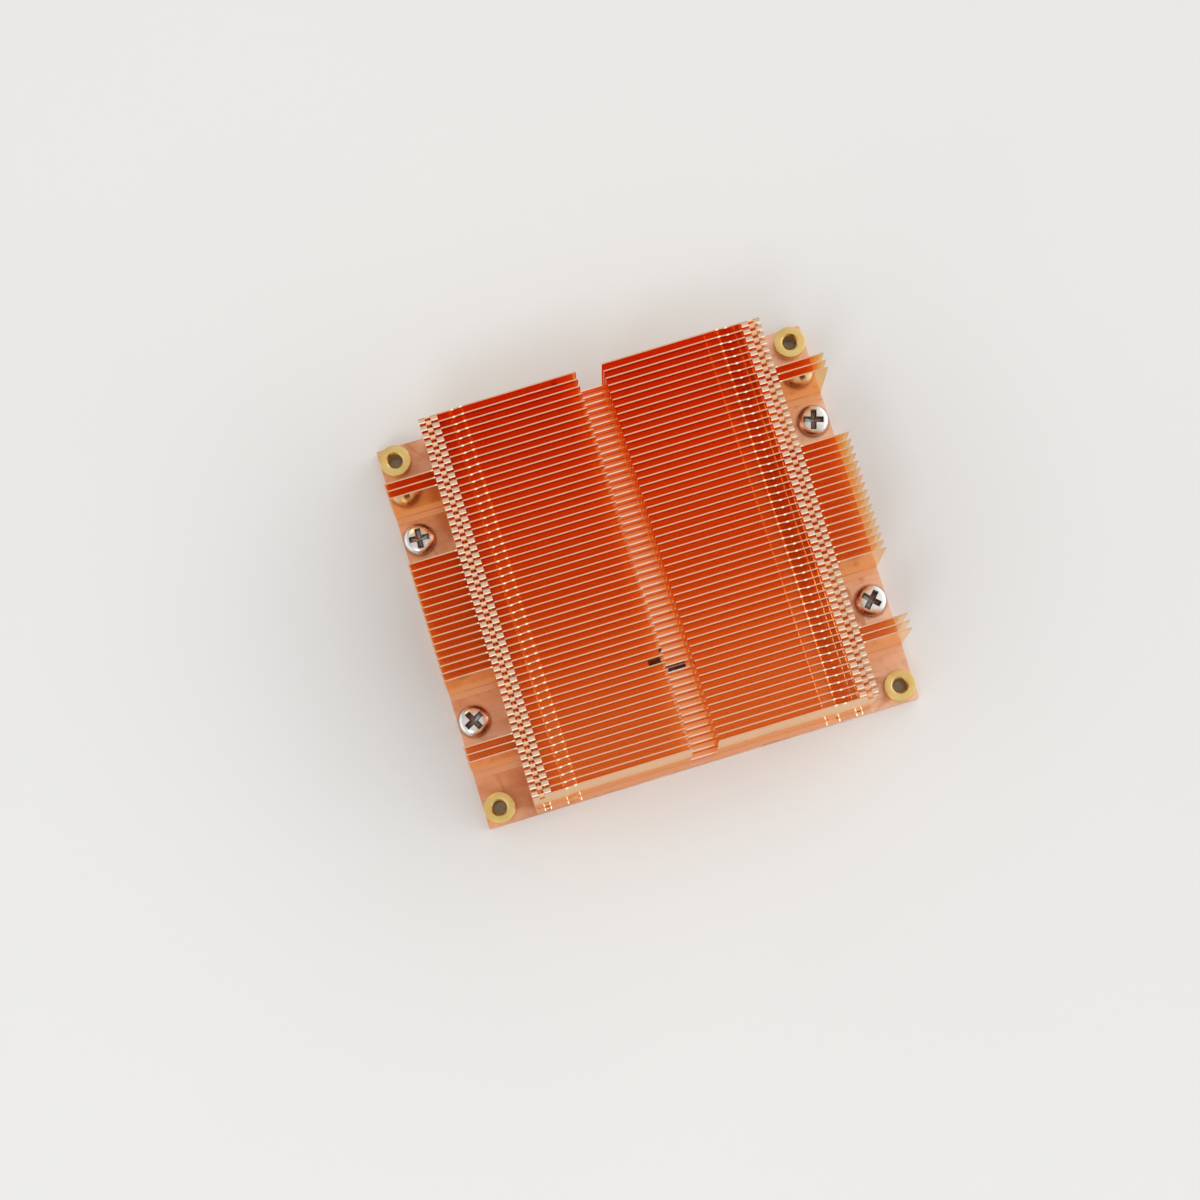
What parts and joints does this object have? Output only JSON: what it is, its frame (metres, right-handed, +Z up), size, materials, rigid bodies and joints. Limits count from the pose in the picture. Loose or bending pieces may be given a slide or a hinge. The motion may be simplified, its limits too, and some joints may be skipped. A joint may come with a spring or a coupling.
{
  "type": "passive server cpu heatsink",
  "caption": "Low passive heat sink: folded copper fins zipped together along the top and soldered to a flat copper plate with flanged brass bushes at its corners.",
  "frame": {"origin": "centre of the base plate's underside", "axes": "+X along the fins, +Y from the front edge to the back edge, +Z up from the underside to the fin tops"},
  "size_m": [0.09, 0.08, 0.026],
  "materials": {
    "plate_copper": "bare copper plate, satin, brushed along X",
    "fin_copper": "bare bright copper sheet, nearly mirror-like on its faces",
    "bush_brass": "turned brass with fine rings",
    "screw_steel": "nickel-plated steel screws"
  },
  "bodies": {
    "root": {"base_plate": "plate_copper", "fin_01": "fin_copper", "fin_02": "fin_copper", "fin_03": "fin_copper", "fin_04": "fin_copper", "fin_05": "fin_copper", "fin_06": "fin_copper", "fin_07": "fin_copper", "fin_08": "fin_copper", "fin_09": "fin_copper", "fin_10": "fin_copper", "fin_11": "fin_copper", "fin_12": "fin_copper", "fin_13": "fin_copper", "fin_14": "fin_copper", "fin_15": "fin_copper", "fin_16": "fin_copper", "fin_17": "fin_copper", "fin_18": "fin_copper", "fin_19": "fin_copper", "fin_20": "fin_copper", "fin_21": "fin_copper", "fin_22": "fin_copper", "fin_23": "fin_copper", "fin_24": "fin_copper", "fin_25": "fin_copper", "fin_26": "fin_copper", "fin_27": "fin_copper", "fin_28": "fin_copper", "fin_29": "fin_copper", "fin_30": "fin_copper", "fin_31": "fin_copper", "fin_32": "fin_copper", "fin_33": "fin_copper", "fin_34": "fin_copper", "fin_35": "fin_copper", "fin_36": "fin_copper", "fin_37": "fin_copper", "fin_38": "fin_copper", "fin_39": "fin_copper", "fin_40": "fin_copper", "fin_41": "fin_copper", "fin_42": "fin_copper", "fin_43": "fin_copper", "fin_44": "fin_copper", "fin_45": "fin_copper", "fin_46": "fin_copper", "fin_47": "fin_copper", "fin_48": "fin_copper", "fin_49": "fin_copper", "fin_50": "fin_copper", "fin_51": "fin_copper", "fin_52": "fin_copper", "fin_53": "fin_copper", "bush_front_left": "bush_brass", "bush_front_right": "bush_brass", "bush_back_left": "bush_brass", "bush_back_right": "bush_brass", "plate_screws": "screw_steel"}
  },
  "joints": []
}
